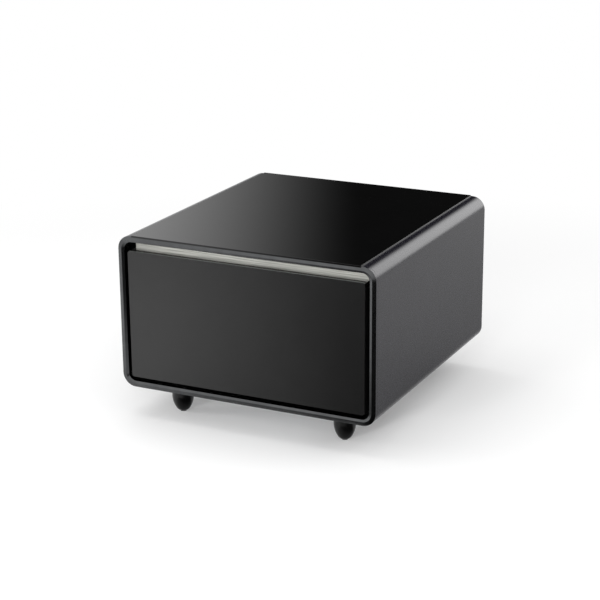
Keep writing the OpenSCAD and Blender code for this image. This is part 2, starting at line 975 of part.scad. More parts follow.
// The space inside the housing, drawn in by a gap and run on past its open back
module housing_hollow(gap, run_on) {
    w = front_w - 2 * housing_t - 2 * gap;
    z0 = housing_z0 + housing_t + gap;
    z1 = channel_z - housing_t - gap;
    y0 = housing_y0 + housing_t + gap;
    translate([-w / 2, y0, z0])
        cube([w, housing_y1 + run_on - y0, z1 - z0]);
}

// Brushed metal on the back leg of the handle channel, folded over the drawer's top edge
module grip_strip() {
    z0 = channel_z + strip_lift;
    z1 = drawer_top_z + strip_lip_t;
    half_w = front_w / 2 - channel_end_t - seat_gap;
    color([0.72, 0.72, 0.69])
        along_x(-half_w, half_w)
            polygon([
                [channel_back_y - strip_t, z0],
                [channel_back_y - strip_t, z1],
                [housing_y1, z1],
                [housing_y1, drawer_top_z],
                [channel_back_y, drawer_top_z],
                [channel_back_y, z0]
            ]);
}

module plug_block(y0, y1, inset) {
    translate([0, 0, cavity_mid_z])
        along_y(y0, y1)
            rounded(plug_w - 2 * inset, plug_h - 2 * inset, cavity_r - inset);
}

module door_foam() {
    inset = door_liner_t + seat_gap;
    color([0.93, 0.88, 0.7]) {
        housing_hollow(seat_gap, 0);
        plug_block(housing_y1 - 1, plug_y1 - inset, inset);
    }
}

// The back of the drawer front: a thin formed sheet with a raised plug
module door_liner() {
    color([0.92, 0.93, 0.93])
        difference() {
            union() {
                translate([-front_w / 2 + 1, housing_y1, housing_z0])
                    cube([front_w - 2, door_liner_t, drawer_top_z - housing_z0]);
                plug_block(housing_y1, plug_y1, 0);
            }
            plug_block(housing_y1 - 1, plug_y1 - door_liner_t, door_liner_t);
        }
}

// A bellows section, open towards the cooled space
module gasket_section() {
    lip = 1.5;
    back = 3;
    polygon([
        [0, 0],
        [gasket_w, 0],
        [gasket_w, lip],
        [back, lip],
        [back, gasket_t - lip],
        [gasket_w, gasket_t - lip],
        [gasket_w, gasket_t],
        [0, gasket_t]
    ]);
}

module door_gasket() {
    grow = gasket_offset + gasket_w;
    color([0.12, 0.12, 0.12])
        translate([0, gasket_y, cavity_mid_z])
            swept_ring(cavity_w + 2 * grow, cavity_h + 2 * grow, cavity_r + grow)
                gasket_section();
}

// ---- Bin ----

module bin_outline(inset) {
    translate([0, (bin_y0 + bin_y1) / 2])
        rounded(bin_w - 2 * inset, bin_d - 2 * inset, bin_r - inset);
}

module drawer_bin() {
    rib_pitch = (bin_w - 2 * bin_r) / (floor_rib_count + 1);
    color([0.9, 0.92, 0.94]) {
        difference() {
            union() {
                translate([0, 0, bin_z0])
                    linear_extrude(height = bin_h)
                        bin_outline(0);
                translate([0, 0, bin_z1 - bin_rim_t])
                    linear_extrude(height = bin_rim_t)
                        intersection() {
                            bin_outline(-bin_rim_w);
                            translate([-case_w / 2, bin_y0])
                                square([case_w, bin_d + bin_rim_w]);
                        }
            }
            translate([0, 0, bin_z0 + bin_t])
                linear_extrude(height = bin_h)
                    bin_outline(bin_t);
        }
        for (i = [1:floor_rib_count])
            translate([-bin_w / 2 + bin_r + i * rib_pitch, bin_y0 + bin_r, bin_z0 + bin_t])
                translate([-floor_rib_w / 2, 0, 0])
                    cube([floor_rib_w, bin_d - 2 * bin_r, floor_rib_h]);
    }
}

// A slotted partition that hooks over both sides of the bin
module bin_divider() {
    inner_w = bin_w - 2 * bin_t - 2 * running_gap;
    z0 = bin_z0 + bin_t + floor_rib_h + running_gap;
    z1 = bin_z1 + running_gap;
    hook_t = 2.5;
    hook_w = bin_t + bin_rim_w;
    window_count = 8;
    window_pitch = inner_w / (window_count + 1);
    window_h = (z1 - z0) * 0.5;
    color([0.85, 0.88, 0.9])
        along_y(divider_y - divider_t / 2, divider_y + divider_t / 2)
            difference() {
                union() {
                    translate([-inner_w / 2, z0])
                        square([inner_w, z1 - z0]);
                    translate([-inner_w / 2 - hook_w, z1])
                        square([inner_w + 2 * hook_w, hook_t]);
                }
                for (i = [1:window_count])
                    translate([-inner_w / 2 + i * window_pitch, (z0 + z1) / 2])
                        rotate(90)
                            slot(window_h, 12);
            }
}

// Domed screws that hold the front wall of the bin to the drawer front
module bin_screws() {
    head_r = 5;
    head_t = 2.5;
    color([0.7, 0.7, 0.72])
        for (x = [-1, 0, 1], z = [0.25, 0.75])
            translate([x * (bin_w / 2 - 50), bin_y0 + bin_t, bin_z0 + z * bin_h])
                rotate([-90, 0, 0])
                    intersection() {
                        cylinder(h = head_t, r = head_r);
                        translate([0, 0, head_t - head_r * 1.6])
                            sphere(head_r * 1.6);
                    }
}

// ---- Cooling unit ----

// A roll-bonded plate: a thin sheet with one flat channel that runs to and fro on its front
module evaporator_plate() {
    run_count = 6;
    channel_w = 7;
    channel_t = 1.6;
    pitch = evaporator_h / run_count;
    half_w = evaporator_w / 2 - 30;
    color([0.8, 0.82, 0.84]) {
        translate([-evaporator_w / 2, evaporator_y, evaporator_z0])
            cube([evaporator_w, evaporator_t, evaporator_h]);
        along_y(evaporator_y - channel_t, evaporator_y) {
            for (i = [0:run_count - 1])
                translate([0, evaporator_z1 - pitch * (i + 0.5)])
                    square([2 * half_w, channel_w], center = true);
            for (i = [0:run_count - 2])
                translate([0, evaporator_z1 - pitch * (i + 1)])
                    mirror([i % 2 == 0 ? 0 : 1, 0])
                        translate([half_w, 0])
                            half_ring(pitch / 2, channel_w);
        }
    }
}

// The right half of a flat ring, given its middle radius and its width
module half_ring(r, w) {
    difference() {
        circle(r + w / 2);
        circle(r - w / 2);
        translate([-r - w, -r - w])
            square([r + w, 2 * (r + w)]);
    }
}

module evaporator_spacers() {
    color([0.9, 0.9, 0.9])
        for (x = [-1, 1], z = [evaporator_z0 + 10, evaporator_z1 - 10])
            translate([x * (evaporator_w / 2 - 12), evaporator_y + evaporator_t, z])
                rotate([-90, 0, 0])
                    cylinder(h = evaporator_gap, r = 4);
}

// Half of the can's outline: a rounded cup below and a taller dome above
module can_outline() {
    foot_r = 20;
    dome_r = 34;
    translate([can_r - foot_r, foot_r])
        circle(foot_r);
    translate([can_r - dome_r, can_h - dome_r])
        circle(dome_r);
    square([can_r - dome_r, can_h]);
    square([can_r - foot_r, can_h - dome_r]);
    translate([0, foot_r])
        square([can_r, can_h - foot_r - dome_r]);
}

module compressor() {
    seam_z = can_z0 + can_h * 0.42;
    plate_t = 3;
    plate_w = 2 * mount_x + 24;
    plate_d = 2 * mount_y + 24;
    color([0.05, 0.05, 0.05]) {
        translate([compressor_x, compressor_y, can_z0])
            rotate_extrude()
                intersection() {
                    can_outline();
                    square([can_r, can_h]);
                }
        translate([compressor_x, compressor_y, seam_z])
            cylinder(h = 4, r = can_r + 3);
        difference() {
            translate([compressor_x, compressor_y, can_z0 - plate_t])
                linear_extrude(height = plate_t)
                    rounded(plate_w, plate_d, 12);
            at_mounts()
                cylinder(h = can_z0 + 1, r = 3 + hole_gap);
        }
        translate([compressor_x, compressor_y, can_z0])
            cylinder(h = 4, r = can_r - 14);
        translate([suction_x, suction_y, can_z1 - 24])
            cylinder(h = 30, r = suction_r + 2);
        translate([discharge_x, discharge_y, can_z1 - 24])
            cylinder(h = 30, r = discharge_r + 2);
    }
}

module compressor_mounts() {
    color([0.1, 0.1, 0.1])
        at_mounts()
            translate([0, 0, floor_z])
                rotate_extrude()
                    polygon([
                        [3 + hole_gap, 0],
                        [11, 0],
                        [11, mount_h * 0.3],
                        [8, mount_h * 0.5],
                        [11, mount_h * 0.7],
                        [11, mount_h],
                        [3 + hole_gap, mount_h]
                    ]);
}

module compressor_bolts() {
    color([0.65, 0.65, 0.65])
        at_mounts() {
            translate([0, 0, base_z + sheet_t])
                cylinder(h = can_z0 - base_z - sheet_t, r = 3);
            translate([0, 0, can_z0])
                linear_extrude(height = 4)
                    circle(6, $fn = 6);
        }
}

// The cover over the compressor's terminals, seated against the can
module terminal_cover() {
    cover_w = 46;
    cover_reach = 24;
    cover_h = 56;
    color([0.1, 0.1, 0.1])
        difference() {
            translate([compressor_x, compressor_y - cover_w / 2, can_z0 + 64])
                cube([can_r + cover_reach, cover_w, cover_h]);
            translate([compressor_x, compressor_y, can_z0])
                cylinder(h = can_h, r = can_r + seat_gap);
        }
}

function row_z(i) = floor_z + tube_pitch * (i + 0.5);

// A pack of thin fins between two end plates, pierced for the two columns of tube
module condenser_fins() {
    fin_t = 0.6;
    end_t = 1.5;
    fin_pitch = (condenser_y1 - condenser_y0) / (fin_count + 1);
    color([0.75, 0.76, 0.77]) {
        for (i = [1:fin_count])
            along_y(condenser_y0 + i * fin_pitch - fin_t / 2, condenser_y0 + i * fin_pitch + fin_t / 2)
                fin_section(2);
        for (y = [condenser_y0, condenser_y1 - end_t])
            along_y(y, y + end_t)
                fin_section(0);
    }
}

module fin_section(inset) {
    difference() {
        translate([condenser_x0, floor_z + inset])
            square([condenser_d, condenser_h - 2 * inset]);
        for (x = [tube_x0, tube_x1], i = [0:row_count - 1])
            translate([x, row_z(i)])
                circle(condenser_tube_r + fit_gap);
    }
}

// Two columns of one tube. The gas goes down the first and up the second.
module condenser_coil() {
    y0 = condenser_y0 - tube_end;
    y1 = condenser_y1 + tube_end;
    turn = y0 - header_y;
    cross_y0 = row_count % 2 == 0 ? y0 : y1;
    cross_y1 = row_count % 2 == 0 ? y0 - turn : y1 + turn;
    color([0.72, 0.45, 0.3]) {
        for (x = [tube_x0, tube_x1]) {
            for (i = [0:row_count - 1])
                bar([x, y0, row_z(i)], [x, y1, row_z(i)], condenser_tube_r);
            for (i = [0:row_count - 2])
                return_bend(x, i, y0, y1);
        }
        pipe([
            [tube_x1, cross_y0, row_z(0)],
            [tube_x1, cross_y1, row_z(0)],
            [tube_x0, cross_y1, row_z(0)],
            [tube_x0, cross_y0, row_z(0)]
        ], condenser_tube_r, pipe_bend);
        pipe([
            [tube_x0, y0, top_row_z],
            [tube_x0, header_y, top_row_z],
            [tube_x0, header_y, header_z]
        ], condenser_tube_r, pipe_bend);
    }
}

// Half a ring from row i to the row above, at the end where the gas turns
module return_bend(x, i, y0, y1) {
    at_back = (row_count - 2 - i) % 2 == 0;
    translate([x, at_back ? y1 : y0, row_z(i) + tube_pitch / 2])
        rotate([0, -90, 0])
            rotate([0, 0, at_back ? 0 : 180])
                rotate_extrude(angle = 180)
                    translate([tube_pitch / 2, 0])
                        circle(condenser_tube_r);
}

module at_fan() {
    translate([fan_x, fan_y, fan_z])
        rotate([0, 90, 0])
            children();
}

// A square frame with a round duct, and a motor seat held by four struts
module fan_frame() {
    duct_r = fan_size / 2 - fan_wall;
    strut_w = 5;
    color([0.07, 0.07, 0.07])
        at_fan() {
            difference() {
                linear_extrude(height = fan_t)
                    rounded(fan_size, fan_size, 6);
                translate([0, 0, -1])
                    cylinder(h = fan_t + 2, r = duct_r);
                for (x = [-1, 1], y = [-1, 1])
                    translate([x * (fan_size / 2 - 7), y * (fan_size / 2 - 7), -1])
                        cylinder(h = fan_t + 2, r = 2.2);
            }
            cylinder(h = fan_motor_t, r = fan_motor_r);
            for (a = [45, 135])
                rotate([0, 0, a])
                    translate([-duct_r - 1, -strut_w / 2, 0])
                        cube([2 * duct_r + 2, strut_w, fan_motor_t]);
            cylinder(h = fan_t - 4, r = fan_pin_r);
        }
}

// A hub with cambered blades set at a pitch
module fan_rotor() {
    hub_z = fan_motor_t + 1;
    hub_h = fan_t - fan_motor_t - 3;
    tip_r = fan_size / 2 - fan_wall - 2;
    camber_r = 40;
    color([0.09, 0.09, 0.09])
        at_fan()
            translate([0, 0, hub_z])
                difference() {
                    union() {
                        cylinder(h = hub_h, r = fan_hub_r);
                        intersection() {
                            cylinder(h = hub_h, r = tip_r);
                            for (i = [0:blade_count - 1])
                                rotate([0, 0, i * 360 / blade_count])
                                    translate([0, 0, hub_h / 2])
                                        blade(camber_r, tip_r);
                        }
                    }
                    translate([0, 0, -1])
                        cylinder(h = hub_h + 2, r = fan_pin_r + fit_gap);
                    translate([0, 0, -1])
                        cylinder(h = hub_h - 2, r = fan_hub_r - 2);
                    translate([0, 0, -1])
                        cylinder(h = 2, r = fan_hub_r - 1);
                }
    color([0.09, 0.09, 0.09])
        at_fan()
            translate([0, 0, hub_z])
                difference() {
                    cylinder(h = hub_h, r = 4);
                    translate([0, 0, -1])
                        cylinder(h = hub_h + 2, r = fan_pin_r + fit_gap);
                }
}

// One blade, running out along X from the hub, with a curved and pitched section
module blade(camber_r, tip_r) {
    pitch_angle = 34;
    chord = 30;
    rotate([pitch_angle, 0, 0])
        translate([fan_hub_r - 1, 0, 0])
            rotate([90, 0, 90])
                linear_extrude(height = tip_r - fan_hub_r + 2)
                    translate([0, -camber_r + 2])
                        intersection() {
                            difference() {
                                circle(camber_r, $fn = 128);
                                circle(camber_r - blade_t, $fn = 128);
                            }
                            translate([-chord / 2, 0])
                                square([chord, camber_r + 1]);
                        }
}

module filter_drier() {
    neck_r = 3;
    color([0.72, 0.45, 0.3])
        translate([tube_x0, header_y, header_z])
            rotate_extrude()
                polygon([
                    [0, 0],
                    [neck_r, 0],
                    [neck_r, 8],
                    [drier_r, 20],
                    [drier_r, drier_l - 20],
                    [neck_r, drier_l - 8],
                    [neck_r, drier_l],
                    [0, drier_l]
                ]);
}

// Hot gas from the compressor to the top row of the condenser nearest the fan
module discharge_pipe() {
    start_z = can_z1 + 6;
    color([0.72, 0.45, 0.3])
        pipe([
            [discharge_x, discharge_y, start_z],
            [discharge_x, discharge_y, discharge_top_z],
            [discharge_x, header_y, discharge_top_z],
            [tube_x1, header_y, discharge_top_z],
            [tube_x1, header_y, top_row_z],
            [tube_x1, condenser_y0 - tube_end, top_row_z]
        ], discharge_r, pipe_bend);
}

// Cold gas from the evaporator back to the compressor
module suction_pipe() {
    color([0.72, 0.45, 0.3])
        pipe([
            [suction_x, evaporator_y + evaporator_t, suction_z],
            [suction_x, suction_y, suction_z],
            [suction_x, suction_y, can_z1 + 6]
        ], suction_r, pipe_bend + suction_r);
}

// Liquid from the filter drier to the evaporator
module capillary_pipe() {
    color([0.72, 0.45, 0.3])
        pipe([
            [tube_x0, header_y, header_z + drier_l],
            [tube_x0, header_y, capillary_z],
            [tube_x0, evaporator_y + evaporator_t, capillary_z]
        ], capillary_r, pipe_bend / 2);
}

// A tube that leads meltwater through the back of the cabinet and down into the tray
module drain_tube() {
    start = [drain_x, cavity_back_y, drain_z];
    corner = [drain_x, tray_y0 + 20, drain_z];
    end = [drain_x, tray_y0 + 20, floor_z + tray_h - 8];
    color([0.8, 0.8, 0.78])
        difference() {
            pipe([start, corner, end], drain_r, pipe_bend);
            pipe([start - [0, 1, 0], corner, end - [0, 0, 1]], drain_r - drain_wall, pipe_bend);
        }
}

// The tray that catches meltwater from the drain tube
module drip_tray() {
    w = tray_x1 - tray_x0;
    d = tray_y1 - tray_y0;
    color([0.25, 0.25, 0.26])
        translate([(tray_x0 + tray_x1) / 2, (tray_y0 + tray_y1) / 2, floor_z])
            difference() {
                linear_extrude(height = tray_h)
                    rounded(w, d, 8);
                translate([0, 0, tray_wall])
                    linear_extrude(height = tray_h)
                        rounded(w - 2 * tray_wall, d - 2 * tray_wall, 8 - tray_wall);
            }
}

module control_board() {
    board_y = room_y + standoff_h;
    color([0.1, 0.35, 0.2]) {
        translate([-board_w / 2, board_y, board_z])
            cube([board_w, board_t, board_h]);
        for (x = [-1, 1], z = [8, board_h - 8])
            translate([x * (board_w / 2 - 8), room_y, board_z + z])
                rotate([-90, 0, 0])
                    cylinder(h = standoff_h, r = 3);
    }
    color([0.15, 0.15, 0.15])
        translate([0, board_y + board_t, board_z]) {
            translate([-50, 0, 14])
                cube([34, 20, 28]);
            translate([-6, 0, 10])
                cube([18, 14, 44]);
            for (x = [26, 44], z = [20, 42])
                translate([x, 0, z])
                    rotate([-90, 0, 0])
                        cylinder(h = 22, r = 6);
            translate([-54, 0, 56])
                cube([60, 9, 9]);
        }
}

module board_cover() {
    w = board_w + 14;
    h = board_h + 14;
    color([0.85, 0.85, 0.84])
        translate([0, 0, board_z + board_h / 2])
            difference() {
                along_y(room_y, room_y + cover_d)
                    rounded(w, h, 6);
                along_y(room_y - 1, room_y + cover_d - cover_wall)
                    rounded(w - 2 * cover_wall, h - 2 * cover_wall, 6 - cover_wall);
            }
}

// A three-pin mains socket with a flange outside the rear panel
module power_inlet() {
    flange_t = 2.5;
    depth = 24;
    socket_w = 24;
    socket_h = 16;
    socket_d = 17;
    outside_y = panel_y + panel_t;
    color([0.08, 0.08, 0.08])
        translate([inlet_x, 0, inlet_z]) {
            difference() {
                union() {
                    along_y(outside_y, outside_y + flange_t)
                        rounded(inlet_w + 14, inlet_h + 10, 4);
                    along_y(outside_y - depth, outside_y)
                        rounded(inlet_w, inlet_h, 3);
                }
                along_y(outside_y + flange_t - socket_d, outside_y + flange_t + 1)
                    rounded(socket_w, socket_h, 3);
            }
            for (x = [-7, 0, 7])
                translate([x - 1, outside_y + flange_t - socket_d, x == 0 ? 1 : -3])
                    cube([2, socket_d - 5, 4]);
        }
}

outer_shell();
front_rim();
top_glass();
base_pan();
rear_panel();
panel_screws();
foot(-1, -1);  // foot_front_left
foot(1, -1);  // foot_front_right
foot(-1, 1);  // foot_rear_left
foot(1, 1);  // foot_rear_right
foot_glides();
foot_studs();
foot_nuts();
foam_body();
cabinet_liner();
face_frame();
bulkhead();
light_bar();
temperature_probe();
cabinet_rail(-1);  // cabinet_rail_left
cabinet_rail(1);  // cabinet_rail_right
middle_rail(-1);  // middle_rail_left
middle_rail(1);  // middle_rail_right
drawer_rail(-1);  // drawer_rail_left
drawer_rail(1);  // drawer_rail_right
outer_cage(-1);  // outer_cage_left
outer_cage(1);  // outer_cage_right
inner_cage(-1);  // inner_cage_left
inner_cage(1);  // inner_cage_right
door_glass();
door_housing();
handle_channel();
channel_ends();
grip_strip();
door_foam();
door_liner();
door_gasket();
drawer_bin();
bin_divider();
bin_screws();
evaporator_plate();
evaporator_spacers();
compressor();
compressor_mounts();
compressor_bolts();
terminal_cover();
condenser_fins();
condenser_coil();
fan_frame();
fan_rotor();
filter_drier();
discharge_pipe();
suction_pipe();
capillary_pipe();
drain_tube();
drip_tray();
control_board();
board_cover();
power_inlet();
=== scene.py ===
import json
import math

import bmesh
import bpy
from mathutils import Matrix, Vector


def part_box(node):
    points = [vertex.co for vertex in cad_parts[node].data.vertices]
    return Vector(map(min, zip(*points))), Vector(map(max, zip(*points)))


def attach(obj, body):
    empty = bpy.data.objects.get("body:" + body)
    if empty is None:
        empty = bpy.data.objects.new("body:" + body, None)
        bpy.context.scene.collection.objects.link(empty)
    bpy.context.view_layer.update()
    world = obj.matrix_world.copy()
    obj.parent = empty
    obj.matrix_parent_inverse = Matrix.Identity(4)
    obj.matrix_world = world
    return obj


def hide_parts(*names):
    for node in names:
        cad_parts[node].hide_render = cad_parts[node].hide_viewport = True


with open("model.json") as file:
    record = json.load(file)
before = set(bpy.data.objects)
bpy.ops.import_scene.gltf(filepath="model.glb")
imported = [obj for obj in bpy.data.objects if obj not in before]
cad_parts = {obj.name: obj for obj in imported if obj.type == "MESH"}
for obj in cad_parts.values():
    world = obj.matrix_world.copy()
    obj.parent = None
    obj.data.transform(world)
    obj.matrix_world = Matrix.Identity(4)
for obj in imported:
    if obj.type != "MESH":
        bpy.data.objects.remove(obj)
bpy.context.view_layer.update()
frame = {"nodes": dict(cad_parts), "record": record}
nodes = frame["nodes"]
mm = 0.001
tiny = 1e-6                        # points nearer than this, in metres, count as level
scene = bpy.context.scene
scene.view_settings.view_transform = "Standard"
print("frame loaded:", len(nodes), "nodes")


# fitted to the object's edges in the photograph
camera = {
    "lens": 103.764,               # mm
    "sensor": 36,                  # mm
    "place": (1.6090, -3.3150, 1.4045),
    "yaw": 26.181,                 # degrees round from straight ahead
    "pitch": 17.901,               # degrees down
    "roll": -0.449,
}

cameraObject = bpy.data.objects.new("camera", bpy.data.cameras.new("camera"))
scene.collection.objects.link(cameraObject)
cameraObject.data.lens = camera["lens"]
cameraObject.data.sensor_width = camera["sensor"]
cameraObject.matrix_world = (
    Matrix.Translation(camera["place"])
    @ Matrix.Rotation(math.radians(camera["yaw"]), 4, "Z")
    @ Matrix.Rotation(math.radians(90 - camera["pitch"]), 4, "X")
    @ Matrix.Rotation(math.radians(camera["roll"]), 4, "Z")
)
scene.camera = cameraObject
print("camera placed")


def linear(hexText):
    # an sRGB hex colour as the shaders take it
    parts = [int(hexText[i:i + 2], 16) / 255 for i in (1, 3, 5)]
    return (*(p / 12.92 if p <= 0.04045 else ((p + 0.055) / 1.055) ** 2.4 for p in parts), 1.0)


def node(tree, kind, links=None, **settings):
    # one shader node; links gives its inputs a value or another node's output
    made = tree.nodes.new(kind)
    for name, value in settings.items():
        setattr(made, name, value)
    for name, value in (links or {}).items():
        if isinstance(value, bpy.types.NodeSocket):
            tree.links.new(value, made.inputs[name])
        else:
            made.inputs[name].default_value = value
    return made


def blank(name):
    # a new material and its surface shader
    made = bpy.data.materials.new(name)
    made.use_nodes = True
    return made, made.node_tree, made.node_tree.nodes["Principled BSDF"]


# the two noises of every finish: large patches share out its tones, and fine grain its sheen and relief
noise = {
    "patchDetail": 3.0,
    "patchRange": (0.35, 0.65),    # goes over from the dark tone to the light one
    "grainDetail": 2.0,
    "grainRange": (0.3, 0.7),      # goes over from the smoother end to the rougher one
}


def surface(look):
    # a finish in two tones, with an uneven sheen and a fine relief, all sized in millimetres
    made, tree, shader = blank(look["name"])
    place = node(tree, "ShaderNodeTexCoord").outputs["Object"]
    along = node(tree, "ShaderNodeMapping", {"Vector": place, "Scale": look.get("stretch", (1, 1, 1))})
    patches = node(tree, "ShaderNodeTexNoise",
                   {"Vector": along.outputs[0], "Scale": 1 / (look["patch"] * mm),
                    "Detail": noise["patchDetail"]})
    relief = node(tree, "ShaderNodeTexNoise",
                  {"Vector": along.outputs[0], "Scale": 1 / (look["grain"] * mm),
                   "Detail": noise["grainDetail"]})
    share = node(tree, "ShaderNodeMapRange",
                 {"Value": patches.outputs["Fac"], "From Min": noise["patchRange"][0],
                  "From Max": noise["patchRange"][1]})
    colour = node(tree, "ShaderNodeMix",
                  {0: share.outputs[0], 6: linear(look["dark"]), 7: linear(look["light"])},
                  data_type="RGBA")
    sheen = node(tree, "ShaderNodeMapRange",
                 {"Value": relief.outputs["Fac"], "From Min": noise["grainRange"][0],
                  "From Max": noise["grainRange"][1], "To Min": look["rough"][0],
                  "To Max": look["rough"][1]})
    bump = node(tree, "ShaderNodeBump",
                {"Height": relief.outputs["Fac"], "Distance": look["relief"] * mm, "Strength": 1.0})
    tree.links.new(colour.outputs[2], shader.inputs["Base Color"])
    tree.links.new(sheen.outputs[0], shader.inputs["Roughness"])
    tree.links.new(bump.outputs[0], shader.inputs["Normal"])
    for name, value in look.get("shader", {}).items():
        shader.inputs[name].default_value = value
    return made


meshing = {
    "merge": 0.002,                # mm: points nearer than this are one
    "sharpAngle": 35,              # degrees: edges that turn by more stay sharp
}


def makePiece(name, bm, coating, body, replaced):
    # closes a mesh, shades it, and sets it on its body in place of CAD nodes
    bmesh.ops.remove_doubles(bm, verts=bm.verts, dist=meshing["merge"] * mm)
    bmesh.ops.recalc_face_normals(bm, faces=bm.faces)
    mesh = bpy.data.meshes.new(name)
    bm.to_mesh(mesh)
    bm.free()
    mesh.materials.append(coating)
    mesh.shade_smooth()
    mesh.set_sharp_from_angle(angle=math.radians(meshing["sharpAngle"]))
    piece = bpy.data.objects.new(name, mesh)
    scene.collection.objects.link(piece)
    piece.modifiers.new("flatFaces", "WEIGHTED_NORMAL").keep_sharp = True
    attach(piece, body)
    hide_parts(*replaced)
    return piece


def upright(x, y, z):
    # stands a flat shape up at depth y, facing the front
    return Matrix.Translation((x, y, z)) @ Matrix.Rotation(math.radians(90), 4, "X")


def roundedFace(bm, width, height, radius, place, steps):
    # one face with round corners
    corners = bmesh.ops.create_grid(bm, x_segments=1, y_segments=1, size=0.5)["verts"]
    bmesh.ops.scale(bm, vec=(width, height, 1), verts=corners)
    bmesh.ops.transform(bm, matrix=place, verts=corners)
    bmesh.ops.bevel(bm, geom=corners, offset=radius, offset_type="OFFSET", segments=steps,
                    profile=0.5, affect="VERTICES", material=-1)
    return next(f for f in bm.faces if len(f.verts) > 4)


def loopOf(bm, width, height, radius, place, steps):
    # a closed ring of edges with round corners
    face = roundedFace(bm, width, height, radius, place, steps)
    edges = face.edges[:]
    bmesh.ops.delete(bm, geom=[face], context="FACES_ONLY")
    return edges


def roundEdges(bm, edges, size, steps=2):
    # a small round along each edge that is still there
    bmesh.ops.bevel(bm, geom=[e for e in edges if e.is_valid], offset=size, offset_type="OFFSET",
                    segments=steps, profile=0.5, affect="EDGES", material=-1, clamp_overlap=True)


def drawOut(bm, faces, way):
    # extrudes faces along a vector, so that a flat shape becomes a solid
    drawn = bmesh.ops.extrude_face_region(bm, geom=faces)["geom"]
    bmesh.ops.translate(bm, vec=way, verts=[g for g in drawn if isinstance(g, bmesh.types.BMVert)])


def splitAt(bm, point, normal, dist=0.0):
    # splits every face that a plane passes through
    bmesh.ops.bisect_plane(bm, geom=bm.verts[:] + bm.edges[:] + bm.faces[:], plane_co=point,
                           plane_no=normal, dist=dist)


studio = {
    "floorRadius": 30.0,
    "floorSides": 96,
    "floorColour": "#e8e8e8",
    "floorGrain": 60,              # mm
    "floorRelief": 0.02,           # mm
    "glow": 0.16,                  # what camera, glossy and transmitted rays see on top of the light
    "plainFrom": (0.95, 1.9),      # how far out the lit floor goes over into the plain white background
    "leftEdge": 24.0,              # degrees to the left of straight back where the bright side starts
    "leftBlend": 0.2,              # sine of the angle over which it fades in
    "leftStrength": 1.3,
    "rightStrength": 0.008,
    "backPanel": (0.35, 0.89, 0.33),       # the way towards its middle
    "backPanelStrength": 4.5,
    "backPanelEdges": (0.87, 0.99),        # cosines of the angles where it begins and is full
    "dome": 0.70,                  # the even light that everything but a reflection meets
    "lampTarget": (0, 0, 0.2),
}

# Dark cards just over the floor, which only reflections see: they are painted dark reflections. A card's
# cover goes over from its first value to its second along the direction "across", between the distances
# "from" and "to".
floorCards = {
    # darkens what the drawer's glass mirrors, more and more to the right
    "frontCard": {"place": (0.3, -1.53, 0.002), "size": (3.2, 2.34), "across": (0.897, -0.442, 0),
                  "from": -0.105, "to": 0.379, "cover": (0.0, 0.97)},
    # these paint dark reflections into the front feet, but for a light edge at the left
    "leftFootCard": {"place": (-0.11, -0.275, 0.002), "size": (0.24, 0.13), "across": (0.84, -0.54, 0),
                     "from": -0.055, "to": 0.005, "cover": (0.0, 0.97)},
    "rightFootCard": {"place": (0.282, -0.275, 0.002), "size": (0.24, 0.13), "across": (0.84, -0.54, 0),
                      "from": 0.274, "to": 0.334, "cover": (0.0, 0.97)},
    # darkens what the lower part of the case's side mirrors
    "sideCard": {"place": (1.3, 1.0, 0.002), "size": (2.0, 3.0), "across": (1, 0, 0),
                 "from": 0.36, "to": 0.95, "cover": (0.45, 0.03)},
}

# only a softbox that shines is seen in reflections, so the others leave no hot spots on the bright parts
softboxes = {
    "overheadSoftbox": {"place": (-0.8, 0.0, 3.2), "size": 2.4, "power": 26, "shines": True},
    "frontSoftbox": {"place": (0.8, -2.4, 1.3), "size": 0.8, "power": 14},
    "leftSoftbox": {"place": (-1.75, -0.85, 0.3), "size": 0.5, "power": 12},
    "gripSoftbox": {"place": (-0.52, -3.25, 0.64), "size": 0.45, "power": 42},
    "rightSoftbox": {"place": (2.2, 0.4, 2.2), "size": 1.6, "power": 15},
}


def studioWorld():
    # white to the camera, and an even dome to all that is lit; reflections meet a bright left side, one
    # soft panel behind and a dark right side
    world = bpy.data.worlds.new("studioWorld")
    world.use_nodes = True
    tree = world.node_tree
    towards = node(tree, "ShaderNodeTexCoord").outputs["Generated"]
    edge = math.radians(studio["leftEdge"])
    leftness = node(tree, "ShaderNodeVectorMath", {0: towards, 1: (-math.cos(edge), -math.sin(edge), 0)},
                    operation="DOT_PRODUCT")
    left = node(tree, "ShaderNodeMapRange",
                {"Value": leftness.outputs["Value"], "From Min": 0.0, "From Max": studio["leftBlend"],
                 "To Min": studio["rightStrength"], "To Max": studio["leftStrength"]},
                interpolation_type="SMOOTHSTEP")
    aim = Vector(studio["backPanel"]).normalized()
    facing = node(tree, "ShaderNodeVectorMath", {0: towards, 1: aim}, operation="DOT_PRODUCT")
    back = node(tree, "ShaderNodeMapRange",
                {"Value": facing.outputs["Value"], "From Min": studio["backPanelEdges"][0],
                 "From Max": studio["backPanelEdges"][1], "To Min": 0.0,
                 "To Max": studio["backPanelStrength"]}, interpolation_type="SMOOTHSTEP")
    total = node(tree, "ShaderNodeMath", {0: left.outputs[0], 1: back.outputs[0]}, operation="ADD")
    ray = node(tree, "ShaderNodeLightPath").outputs
    light = node(tree, "ShaderNodeMix",
                 {0: ray["Is Glossy Ray"], 2: studio["dome"], 3: total.outputs[0]})
    shown = node(tree, "ShaderNodeMix", {0: ray["Is Camera Ray"], 2: light.outputs[0], 3: 1.0})
    tree.links.new(shown.outputs[0], tree.nodes["Background"].inputs["Strength"])
    tree.nodes["Background"].inputs["Color"].default_value = (1, 1, 1, 1)
    scene.world = world


